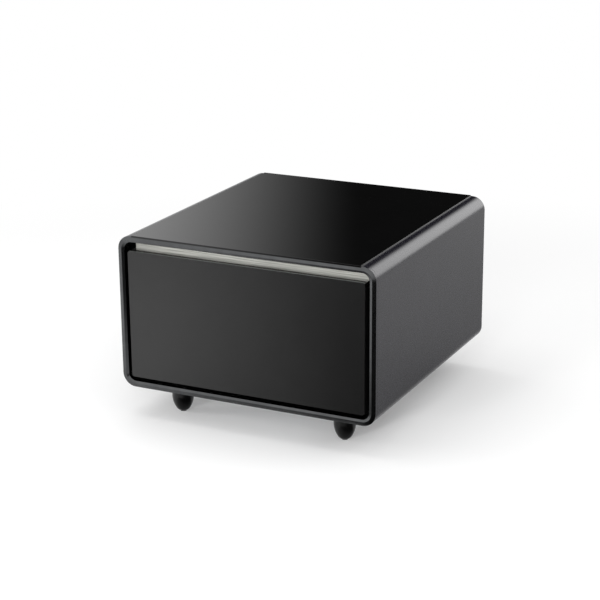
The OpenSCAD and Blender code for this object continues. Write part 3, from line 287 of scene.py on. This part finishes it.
def studioFloor():
    # a wide pale floor that keeps the shadow near the object and is plain white further out
    bm = bmesh.new()
    bmesh.ops.create_circle(bm, cap_ends=True, segments=studio["floorSides"],
                            radius=studio["floorRadius"])
    mesh = bpy.data.meshes.new("studioFloor")
    bm.to_mesh(mesh)
    bm.free()
    paint, tree, shader = blank("studioFloorPaint")
    tree.nodes.remove(shader)
    place = node(tree, "ShaderNodeTexCoord").outputs["Object"]
    speckle = node(tree, "ShaderNodeTexNoise",
                   {"Vector": place, "Scale": 1 / (studio["floorGrain"] * mm),
                    "Detail": noise["patchDetail"]})
    bump = node(tree, "ShaderNodeBump",
                {"Height": speckle.outputs["Fac"], "Distance": studio["floorRelief"] * mm})
    matte = node(tree, "ShaderNodeBsdfDiffuse",
                 {"Color": linear(studio["floorColour"]), "Normal": bump.outputs[0]})
    ray = node(tree, "ShaderNodeLightPath").outputs
    seen = node(tree, "ShaderNodeMath", {0: ray["Is Camera Ray"], 1: ray["Is Glossy Ray"]},
                operation="ADD")
    seen = node(tree, "ShaderNodeMath", {0: seen.outputs[0], 1: ray["Is Transmission Ray"]},
                operation="ADD")
    strength = node(tree, "ShaderNodeMath", {0: seen.outputs[0], 1: studio["glow"]},
                    operation="MULTIPLY")
    glow = node(tree, "ShaderNodeEmission", {"Strength": strength.outputs[0]})
    both = node(tree, "ShaderNodeAddShader", {0: matte.outputs[0], 1: glow.outputs[0]})
    away = node(tree, "ShaderNodeVectorMath", {0: place}, operation="LENGTH")
    far = node(tree, "ShaderNodeMapRange",
               {"Value": away.outputs["Value"], "From Min": studio["plainFrom"][0],
                "From Max": studio["plainFrom"][1]}, interpolation_type="SMOOTHSTEP")
    farSeen = node(tree, "ShaderNodeMath", {0: far.outputs[0], 1: seen.outputs[0]},
                   operation="MULTIPLY")
    plain = node(tree, "ShaderNodeEmission", {"Strength": 1.0})
    ground = node(tree, "ShaderNodeMixShader",
                  {0: farSeen.outputs[0], 1: both.outputs[0], 2: plain.outputs[0]})
    tree.links.new(ground.outputs[0], tree.nodes["Material Output"].inputs["Surface"])
    mesh.materials.append(paint)
    floor = bpy.data.objects.new("studioFloor", mesh)
    scene.collection.objects.link(floor)


def floorCard(name, card):
    # a black card that only reflections see, so it paints a dark reflection; its cover changes across it
    bm = bmesh.new()
    spread = Matrix.Translation(card["place"]) @ Matrix.Diagonal((*card["size"], 1, 1))
    bmesh.ops.create_grid(bm, x_segments=8, y_segments=8, size=0.5, matrix=spread)
    mesh = bpy.data.meshes.new(name)
    bm.to_mesh(mesh)
    bm.free()
    darkReflection, tree, shader = blank(name + "PaintedReflection")
    place = node(tree, "ShaderNodeTexCoord").outputs["Object"]
    across = node(tree, "ShaderNodeVectorMath", {0: place, 1: card["across"]}, operation="DOT_PRODUCT")
    cover = node(tree, "ShaderNodeMapRange",
                 {"Value": across.outputs["Value"], "From Min": card["from"], "From Max": card["to"],
                  "To Min": card["cover"][0], "To Max": card["cover"][1]})
    tree.links.new(cover.outputs[0], shader.inputs["Alpha"])
    shader.inputs["Base Color"].default_value = (0, 0, 0, 1)
    shader.inputs["Roughness"].default_value = 1.0
    shader.inputs["Specular IOR Level"].default_value = 0.0
    mesh.materials.append(darkReflection)
    flat = bpy.data.objects.new(name, mesh)
    scene.collection.objects.link(flat)
    # only glossy rays meet the card, so it paints dark reflections and casts no shadow
    flat.visible_camera = flat.visible_diffuse = flat.visible_shadow = flat.visible_transmission = False


def softbox(name, lamp):
    light = bpy.data.lights.new(name, "AREA")
    light.shape = "SQUARE"
    light.size = lamp["size"]
    light.energy = lamp["power"]
    box = bpy.data.objects.new(name, light)
    scene.collection.objects.link(box)
    aim = Vector(studio["lampTarget"]) - Vector(lamp["place"])
    turned = aim.to_track_quat("-Z", "Y").to_matrix().to_4x4()
    box.matrix_world = Matrix.Translation(lamp["place"]) @ turned
    box.visible_camera = False
    box.visible_glossy = lamp.get("shines", False)


studioWorld()
studioFloor()
for cardName, cardValues in floorCards.items():
    floorCard(cardName, cardValues)
for boxName, boxValues in softboxes.items():
    softbox(boxName, boxValues)
print("studio built")


# each finish starts from the real material and how it was made; patterns are in millimetres
finishes = {
    # sheet steel with a semi-gloss black stoving paint: dark and smooth, with a very slight orange peel
    "case_paint": {
        "name": "stovedBlackPaint", "dark": "#17161d", "light": "#1b1a21", "patch": 60, "grain": 3.5,
        "rough": (0.26, 0.28), "relief": 0.0001, "shader": {"IOR": 1.35}},
    # injection-moulded ABS under a smoked metallic lacquer: a softened dark mirror, so its facets part
    # clearly
    "rim_plastic": {
        "name": "smokedMetallicAbs", "dark": "#4f5051", "light": "#565758", "patch": 20, "grain": 0.8,
        "rough": (0.17, 0.2), "relief": 0.0006, "shader": {"Metallic": 1.0}},
    # tempered float glass printed black behind: deep, even and mirror-smooth
    "top_glass": {
        "name": "blackBackedGlass", "dark": "#070707", "light": "#080808", "patch": 90, "grain": 30,
        "rough": (0.02, 0.05), "relief": 0.0, "shader": {"IOR": 1.5}},
    # the same glass with a fine satin etch: reflections turn into soft gradients
    "front_glass": {
        "name": "satinEtchedGlass", "dark": "#131313", "light": "#151515", "patch": 60, "grain": 0.8,
        "rough": (0.20, 0.24), "relief": 0.0001, "shader": {"IOR": 1.5}},
    # the ground and seamed top edge of the drawer's pane: grey-green and matt, given to the top alone as
    # a painted highlight, a thin light line
    "glass_edge_and_highlight": {
        "name": "groundEdgeAndPaintedHighlight", "dark": "#5c615f", "light": "#6b706e", "patch": 6, "grain": 0.5,
        "rough": (0.4, 0.5), "relief": 0.003},
    # satin-moulded ABS: deep black with one soft highlight down its side
    "foot_plastic": {
        "name": "satinMouldedAbs", "dark": "#070707", "light": "#080808", "patch": 15, "grain": 1.5,
        "rough": (0.18, 0.22), "relief": 0.0002, "shader": {"Specular IOR Level": 0.36}},
    # natural rubber pad: dull, slightly dusty
    "glide_rubber": {
        "name": "blackRubber", "dark": "#1a1a1a", "light": "#262625", "patch": 5, "grain": 0.4,
        "rough": (0.65, 0.85), "relief": 0.02},
    # extruded soft PVC: dull with faint draw lines along its length
    "gasket_rubber": {
        "name": "extrudedSoftPvc", "dark": "#141414", "light": "#1d1d1e", "patch": 9, "grain": 0.5,
        "rough": (0.45, 0.6), "relief": 0.01},
    # cold-rolled steel with bright zinc: grey, faintly cloudy
    "zinc_steel": {
        "name": "zincPlatedSteel", "dark": "#9a9da0", "light": "#b9bcbf", "patch": 6, "grain": 0.7,
        "rough": (0.25, 0.42), "relief": 0.002, "shader": {"Metallic": 1.0}},
    # roll-formed steel with bright zinc: lines run along the runner
    "runner_steel": {
        "name": "rollFormedSteel", "dark": "#a4a7aa", "light": "#c6c8ca", "patch": 3, "grain": 0.5,
        "rough": (0.3, 0.45), "relief": 0.002, "stretch": (1, 0.04, 1), "shader": {"Metallic": 0.9}},
    # textured powder coat: matt with a pebbled grain
    "panel_paint": {
        "name": "texturedPowderCoat", "dark": "#161617", "light": "#202022", "patch": 3, "grain": 1.0,
        "rough": (0.45, 0.6), "relief": 0.05},
    # moulded HIPS, vacuum-formed: warm white, softly glossy
    "white_plastic": {
        "name": "thermoformedHips", "dark": "#dcdedd", "light": "#e6e8e7", "patch": 50, "grain": 2.5,
        "rough": (0.28, 0.4), "relief": 0.01},
    # spark-eroded ABS mouldings: fine matt grain
    "black_plastic": {
        "name": "sparkErodedAbs", "dark": "#0d0d0e", "light": "#141415", "patch": 4, "grain": 0.45,
        "rough": (0.4, 0.55), "relief": 0.012},
    # polished ABS in the drawer's channel: black, and glossy enough to mirror the metal strip behind it
    "channel_gloss": {
        "name": "polishedBlackAbs", "dark": "#0b0b0b", "light": "#0f0f0f", "patch": 12, "grain": 1.2,
        "rough": (0.2, 0.26), "relief": 0.001},
    # brushed aluminium: long fine scratches across the drawer
    "brushed_strip": {
        "name": "brushedAluminium", "dark": "#bdbdb6", "light": "#e8e8e1", "patch": 2.2, "grain": 0.9,
        "rough": (0.5, 0.6), "relief": 0.002, "stretch": (0.02, 1, 1), "shader": {"Metallic": 0.4}},
    # injection-moulded clear-milky styrene: pale with a crisp gloss
    "bin_plastic": {
        "name": "milkyStyrene", "dark": "#cfd5d9", "light": "#dde2e5", "patch": 70, "grain": 6,
        "rough": (0.12, 0.22), "relief": 0.006,
        "shader": {"Subsurface Weight": 0.25, "Subsurface Scale": 0.004, "IOR": 1.55}},
    # opal acrylic light cover: white and even
    "light_diffuser": {
        "name": "opalAcrylic", "dark": "#eef0f2", "light": "#f6f8fa", "patch": 20, "grain": 3,
        "rough": (0.3, 0.4), "relief": 0.004},
    # mill-finish aluminium sheet
    "plate_aluminium": {
        "name": "millAluminium", "dark": "#b4b7ba", "light": "#cdd0d2", "patch": 8, "grain": 0.8,
        "rough": (0.3, 0.5), "relief": 0.004, "stretch": (0.08, 1, 1), "shader": {"Metallic": 1.0}},
    # black enamel on the pressed can
    "compressor_paint": {
        "name": "blackCanEnamel", "dark": "#0a0a0b", "light": "#101011", "patch": 14, "grain": 1.8,
        "rough": (0.18, 0.3), "relief": 0.01},
    # drawn copper tube, a little oxidised
    "copper_pipe": {
        "name": "drawnCopper", "dark": "#a0553a", "light": "#d08a62", "patch": 12, "grain": 1.2,
        "rough": (0.22, 0.42), "relief": 0.003, "shader": {"Metallic": 1.0}},
    # glass-epoxy board under a green solder mask
    "circuit_board": {
        "name": "solderMaskedBoard", "dark": "#0d3b22", "light": "#14502f", "patch": 5, "grain": 0.8,
        "rough": (0.25, 0.4), "relief": 0.02},
}


# sprayed polyurethane foam: cream, dull, with closed cells
foam = {
    "dark": "#d9c48e",
    "light": "#eadcb0",
    "cell": 1.5,                   # mm across
    "patch": 25,                   # mm
    "patchDetail": 4.0,
    "relief": 0.4,                 # mm
    "rough": 0.85,
}


def foamFinish():
    made, tree, shader = blank("polyurethaneFoam")
    place = node(tree, "ShaderNodeTexCoord").outputs["Object"]
    cells = node(tree, "ShaderNodeTexVoronoi", {"Vector": place, "Scale": 1 / (foam["cell"] * mm)})
    tone = node(tree, "ShaderNodeTexNoise",
                {"Vector": place, "Scale": 1 / (foam["patch"] * mm), "Detail": foam["patchDetail"]})
    colour = node(tree, "ShaderNodeMix",
                  {0: tone.outputs["Fac"], 6: linear(foam["dark"]), 7: linear(foam["light"])},
                  data_type="RGBA")
    bump = node(tree, "ShaderNodeBump",
                {"Height": cells.outputs["Distance"], "Distance": foam["relief"] * mm})
    tree.links.new(colour.outputs[2], shader.inputs["Base Color"])
    tree.links.new(bump.outputs[0], shader.inputs["Normal"])
    shader.inputs["Roughness"].default_value = foam["rough"]
    return made


finish = {slotName: surface(look) for slotName, look in finishes.items()}
finish["insulation"] = foamFinish()
print("finishes made:", len(finish))


# what the shell and the rim share
case = {
    "cornerRadius": 30,
    "cornerSteps": 16,
    "recessHalfWidth": 266.6,      # the recess that the top glass lies in
    "recessDepth": 2.0,
}

shell = {
    "sheet": 1.5,
    "pressRadius": 0.35,
    "pressSteps": 3,
    "undersideGapHalfWidth": 145,
    "cutEdge": 0.35,               # the deburred ends of the sheet
    "cutCosine": 0.5,              # faces with a smaller cosine between them meet at a cut edge
}


def cutRecess(bm, half, floorZ, dist=0.0):
    # takes out whatever lies where the top glass goes
    for side in (half, -half):
        splitAt(bm, (side, 0, 0), (1, 0, 0), dist)
    splitAt(bm, (0, 0, floorZ), (0, 0, 1), dist)
    inside = [f for f in bm.faces
              if f.calc_center_median().z > floorZ and abs(f.calc_center_median().x) < half]
    bmesh.ops.delete(bm, geom=inside, context="FACES")


def outerShell():
    # the section of the bent sheet, drawn from the front to the rear
    low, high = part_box("outer_shell")
    middle = (low + high) / 2
    bm = bmesh.new()
    roundedFace(bm, high.x - low.x, high.z - low.z, case["cornerRadius"] * mm,
                upright(0, low.y, middle.z), case["cornerSteps"])
    half = case["recessHalfWidth"] * mm
    cutRecess(bm, half, high.z - case["recessDepth"] * mm)
    bmesh.ops.dissolve_faces(bm, faces=bm.faces[:], use_verts=True)
    corners = [v for v in bm.verts if abs(abs(v.co.x) - half) < tiny and v.co.z > middle.z]
    bmesh.ops.bevel(bm, geom=corners, offset=shell["pressRadius"] * mm, offset_type="OFFSET",
                    segments=shell["pressSteps"], profile=0.5, affect="VERTICES", material=-1)
    section = bmesh.ops.inset_region(bm, faces=bm.faces[:], thickness=shell["sheet"] * mm,
                                     use_boundary=True, use_even_offset=True)["faces"]
    bmesh.ops.delete(bm, geom=[f for f in bm.faces if f not in section], context="FACES_ONLY")
    gap = shell["undersideGapHalfWidth"] * mm
    for side in (-gap, gap):
        splitAt(bm, (side, 0, 0), (1, 0, 0))
    underside = [f for f in bm.faces
                 if f.calc_center_median().z < middle.z and abs(f.calc_center_median().x) < gap]
    bmesh.ops.delete(bm, geom=underside, context="FACES")
    drawOut(bm, bm.faces[:], (0, high.y - low.y, 0))
    ends = [e for e in bm.edges
            if abs(e.verts[0].co.y - e.verts[1].co.y) < tiny and len(e.link_faces) == 2
            and abs(e.link_faces[0].normal.dot(e.link_faces[1].normal)) < shell["cutCosine"]]
    bmesh.ops.recalc_face_normals(bm, faces=bm.faces)
    roundEdges(bm, ends, shell["cutEdge"] * mm)
    return makePiece("steelShell", bm, finish["case_paint"], "cabinet", ["outer_shell"])


outerShell()
print("shell built")


rim = {
    "ridgeInset": 8.5,
    "outerRelief": 2.2,            # how far the rim's outer edge lies behind its ridge
    "innerRelief": 2.65,           # and its inner edge
    "side": 15.0,
    "topBottom": 13.5,
    "openingRadius": 17,
    "lip": 10,
    "spigot": 22,
    "collar": 2.0,                 # wall of the collar that runs back round the opening
    "seam": 0.2,                   # opens a fine line where the rim meets the sheet
    "seat": 1.6,                   # the spigot's step inside the sheet
    "edgeRounds": (0.35, 0.5, 0.9, 0.3, 0.3, 0.2, 0.2, 0.2, 0.25),     # one for each station below
    "roundSteps": 3,
    "wallSlope": 0.4,              # its outer wall: faces whose normals have less y than this
    "wallDepth": 0.3,              # and that lie no deeper than this under the outline
}


def cutNotch(bm, half, floorZ):
    # opens the rim's top for the glass, and closes the cut's floor and its two ends
    cutRecess(bm, half, floorZ, dist=tiny / 10)
    openEdges = [e for e in bm.edges if e.is_boundary]
    for side in (-half, half):
        corner = [v for v in {v for e in openEdges for v in e.verts}
                  if abs(v.co.x - side) < tiny and abs(v.co.z - floorZ) < tiny]
        corner.sort(key=lambda v: v.co.y)
        across = bm.edges.new((corner[0], corner[-1]))
        end = [e for e in openEdges if all(abs(v.co.x - side) < tiny for v in e.verts)]
        bmesh.ops.edgeloop_fill(bm, edges=end + [across])
        openEdges.append(across)
    level = [e for e in openEdges if all(abs(v.co.z - floorZ) < tiny for v in e.verts)]
    bmesh.ops.edgeloop_fill(bm, edges=level)


def frontRim():
    # a ring of round-cornered loops, bridged one to the next
    low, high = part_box("front_rim")
    width, height = high.x - low.x, high.z - low.z
    middle = (low.z + high.z) / 2
    outer = case["cornerRadius"]
    side, topBottom, opening, wall = rim["side"], rim["topBottom"], rim["openingRadius"], rim["collar"]
    depth = (high.y - low.y) / mm
    # inset at the sides, inset at top and bottom, corner radius, depth behind the ridge
    stations = (
        (0, 0, outer, rim["outerRelief"]),
        (rim["ridgeInset"], rim["ridgeInset"], outer - rim["ridgeInset"], 0),
        (side, topBottom, opening, rim["innerRelief"]),
        (side, topBottom, opening, depth),
        (side - wall, topBottom - wall, opening + wall, depth - rim["seam"]),
        (side - wall, topBottom - wall, opening + wall, rim["spigot"]),
        (rim["seat"], rim["seat"], outer - rim["seat"], rim["spigot"] - rim["seam"]),
        (rim["seat"], rim["seat"], outer - rim["seat"], rim["lip"] + rim["seam"]),
        (0, 0, outer, rim["lip"] - rim["seam"]),
    )
    bm = bmesh.new()
    loops = [loopOf(bm, width - 2 * sideIn * mm, height - 2 * topIn * mm, radius * mm,
                    upright(0, low.y + back * mm, middle), case["cornerSteps"])
             for sideIn, topIn, radius, back in stations]
    for here, there in zip(loops, loops[1:] + loops[:1]):
        bmesh.ops.bridge_loops(bm, edges=here + there)
    bmesh.ops.recalc_face_normals(bm, faces=bm.faces)
    for ring, size in zip(loops, rim["edgeRounds"]):
        roundEdges(bm, ring, size * mm, rim["roundSteps"])
    cutNotch(bm, case["recessHalfWidth"] * mm, high.z - case["recessDepth"] * mm)
    bmesh.ops.recalc_face_normals(bm, faces=bm.faces)
    for face in bm.faces:
        # the wall that continues the case's sides takes the case's paint
        at = face.calc_center_median()
        across = max(abs(at.x) - width / 2 + outer * mm, 0)
        up = max(abs(at.z - middle) - height / 2 + outer * mm, 0)
        onWall = math.hypot(across, up) > (outer - rim["wallDepth"]) * mm
        face.material_index = int(abs(face.normal.y) < rim["wallSlope"] and onWall)
    piece = makePiece("paintedRim", bm, finish["rim_plastic"], "cabinet", ["front_rim"])
    piece.data.materials.append(finish["case_paint"])
    return piece


frontRim()
print("rim built")


panes = {
    "top": {"corner": 2, "cornerSteps": 4, "arris": 0.35},
    "front": {"corner": 5.5, "cornerSteps": 8, "arris": 0.6,
              "groundAndHighlightSlope": 0.6},         # faces that look up more than this are ground, a painted highlight along the top alone
}


def topPane():
    low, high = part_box("top_glass")
    pane = panes["top"]
    bm = bmesh.new()
    face = roundedFace(bm, high.x - low.x, high.y - low.y, pane["corner"] * mm,
                       Matrix.Translation((0, (low.y + high.y) / 2, low.z)), pane["cornerSteps"])
    drawOut(bm, [face], (0, 0, high.z - low.z))
    bmesh.ops.recalc_face_normals(bm, faces=bm.faces)
    roundEdges(bm, [e for e in bm.edges if e.verts[0].co.z == e.verts[1].co.z], pane["arris"] * mm)
    return makePiece("topPane", bm, finish["top_glass"], "cabinet", ["top_glass"])


def frontPane():
    low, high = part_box("door_glass")
    pane = panes["front"]
    bm = bmesh.new()
    face = roundedFace(bm, high.x - low.x, high.z - low.z, pane["corner"] * mm,
                       upright(0, low.y, (low.z + high.z) / 2), pane["cornerSteps"])
    drawOut(bm, [face], (0, high.y - low.y, 0))
    bmesh.ops.recalc_face_normals(bm, faces=bm.faces)
    roundEdges(bm, [e for e in bm.edges if e.verts[0].co.y == e.verts[1].co.y], pane["arris"] * mm)
    bmesh.ops.recalc_face_normals(bm, faces=bm.faces)
    # only the pane's top edge takes the lighter ground-edge finish: a painted highlight along the top
    for face in bm.faces:
        face.material_index = int(face.normal.z > pane["groundAndHighlightSlope"])
    piece = makePiece("frontPane", bm, finish["front_glass"], "drawer", ["door_glass"])
    piece.data.materials.append(finish["glass_edge_and_highlight"])
    return piece


topPane()
frontPane()
print("panes built")


strip = {
    "sheet": 1.5,
    "fold": 1.2,
    "round": 0.4,
    "longer": 2.0,                 # reaches this much lower than the CAD's strip, as in the photograph
}


def gripStrip():
    # a sheet with a small fold back along its top
    low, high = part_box("grip_strip")
    sheet, fold = strip["sheet"] * mm, strip["fold"] * mm
    low.z -= strip["longer"] * mm
    outline = ((low.y, low.z), (low.y, high.z), (high.y, high.z), (high.y, high.z - fold),
               (low.y + sheet, high.z - fold), (low.y + sheet, low.z))
    bm = bmesh.new()
    face = bm.faces.new([bm.verts.new((low.x, y, z)) for y, z in outline])
    drawOut(bm, [face], (high.x - low.x, 0, 0))
    bmesh.ops.recalc_face_normals(bm, faces=bm.faces)
    lengthwise = [e for e in bm.edges if abs(e.verts[0].co.x - e.verts[1].co.x) > mm]
    roundEdges(bm, lengthwise, strip["round"] * mm)
    return makePiece("brushedStrip", bm, finish["brushed_strip"], "drawer", ["grip_strip"])


gripStrip()
print("strip built")


foot = {
    "noseRadius": 18.5,
    "noseSteps": 6,
    "shoulder": 38,
    "sideSteps": 14,
    "topChamfer": 0.6,
    "sides": 64,
    "fuller": 0.5,                 # wider all round than the CAD's foot, as in the photograph
}


def bulletFoot(name):
    # a nose arc and a longer side arc that run into each other, turned about the foot's axis
    low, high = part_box(name)
    centre = (low + high) / 2
    radius = (high.x - low.x) / 2 + foot["fuller"] * mm
    nose, shoulder = foot["noseRadius"] * mm, foot["shoulder"] * mm
    rise = shoulder - nose
    sideArc = (radius ** 2 + rise ** 2 - nose ** 2) / (2 * (radius - nose))
    turn = math.atan2(rise, sideArc - radius)
    flat = math.sqrt(nose ** 2 - (nose - low.z) ** 2)
    noseTurn = math.acos(flat / nose) - turn
    bm = bmesh.new()
    start = bm.verts.new((radius, 0, shoulder))
    side = bmesh.ops.spin(bm, geom=[start], cent=(radius - sideArc, 0, shoulder), axis=(0, 1, 0),
                          angle=turn, steps=foot["sideSteps"])["geom_last"]
    tip = bmesh.ops.spin(bm, geom=side, cent=(0, 0, nose), axis=(0, 1, 0), angle=noseTurn,
                         steps=foot["noseSteps"])["geom_last"]
    chamfer = foot["topChamfer"] * mm
    above = [start]
    for x, z in ((radius, high.z - chamfer), (radius - chamfer, high.z), (0, high.z)):
        above.append(bm.verts.new((x, 0, z)))
        bm.edges.new(above[-2:])
    bm.edges.new((tip[0], bm.verts.new((0, 0, low.z))))
    bmesh.ops.spin(bm, geom=bm.verts[:] + bm.edges[:], cent=(0, 0, 0), axis=(0, 0, 1),
                   angle=math.radians(360), steps=foot["sides"], use_merge=True)
    bmesh.ops.translate(bm, vec=(centre.x, centre.y, 0), verts=bm.verts)
    return makePiece(name.replace("foot", "bulletFoot"), bm, finish["foot_plastic"], "cabinet", [name])


for footName in ("foot_front_left", "foot_front_right", "foot_rear_left", "foot_rear_right"):
    bulletFoot(footName)
print("feet built")


softEdge = {
    "bevel": 0.35,                 # mm
    "segments": 2,
    "angle": 30,                   # degrees: edges that turn by less aren't softened
    "flatAngle": 0.5,              # degrees: faces nearer than this to one plane become one
}

# a node whose finish isn't the one that the record's slot gives
ownFinish = {"handle_channel": "channel_gloss"}


def dress(name, finishUsed):
    # gives a carried-over node its finish, and breaks its sharp edges by a modifier
    piece = nodes[name]
    piece.data.materials.clear()
    piece.data.materials.append(finishUsed)
    piece.modifiers.new("weld", "WELD").merge_threshold = meshing["merge"] * mm
    flat = piece.modifiers.new("flat", "DECIMATE")
    flat.decimate_type = "DISSOLVE"
    flat.angle_limit = math.radians(softEdge["flatAngle"])
    edge = piece.modifiers.new("edge", "BEVEL")
    edge.width = softEdge["bevel"] * mm
    edge.segments = softEdge["segments"]
    edge.limit_method = "ANGLE"
    edge.angle_limit = math.radians(softEdge["angle"])
    edge.use_clamp_overlap = True
    piece.modifiers.new("flatFaces", "WEIGHTED_NORMAL").keep_sharp = True


for part in frame["record"]["subparts"]:
    if not nodes[part["node"]].hide_render:
        dress(part["node"], finish[ownFinish.get(part["node"], part["material_slot"])])
print("carried-over nodes dressed")
